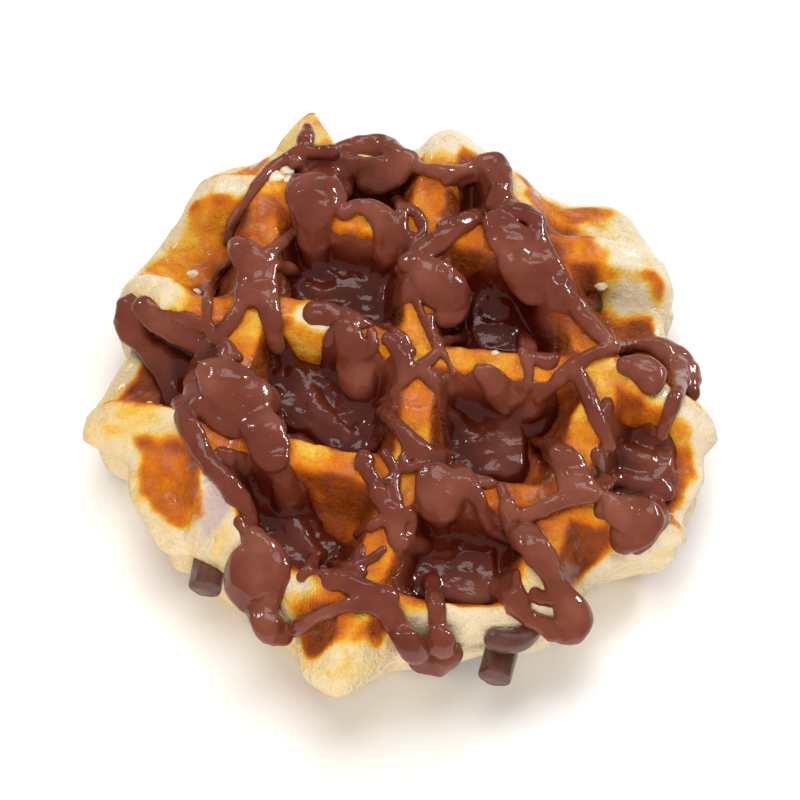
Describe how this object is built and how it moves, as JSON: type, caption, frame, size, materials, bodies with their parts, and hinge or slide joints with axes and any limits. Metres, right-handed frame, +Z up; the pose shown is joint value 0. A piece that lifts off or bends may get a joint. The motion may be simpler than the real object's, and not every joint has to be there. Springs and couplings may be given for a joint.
{
  "type": "chocolate-filled waffle",
  "caption": "Round sugar waffle with deep square pockets, a wavy rim, thick chocolate sauce poured over the top and chocolate batons sticking out of its side.",
  "frame": {"origin": "centre of the footprint, on the plane where the lower ridges rest", "axes": "+Z up through the sauced face, -Y towards the side where the batons come out, +X to the right seen from that side"},
  "size_m": [0.1196, 0.1311, 0.0291],
  "materials": {
    "dough": "baked sugar dough, pale gold on the ridges and brown in the pockets, satin",
    "sauce": "thick milk chocolate sauce, wet gloss",
    "baton": "dark chocolate, satin",
    "sugar": "pearl sugar grains, whitish and half clear"
  },
  "bodies": {
    "root": {"waffle": "dough", "baton_left": "baton", "baton_right": "baton", "baton_bent": "baton"}
  },
  "joints": []
}
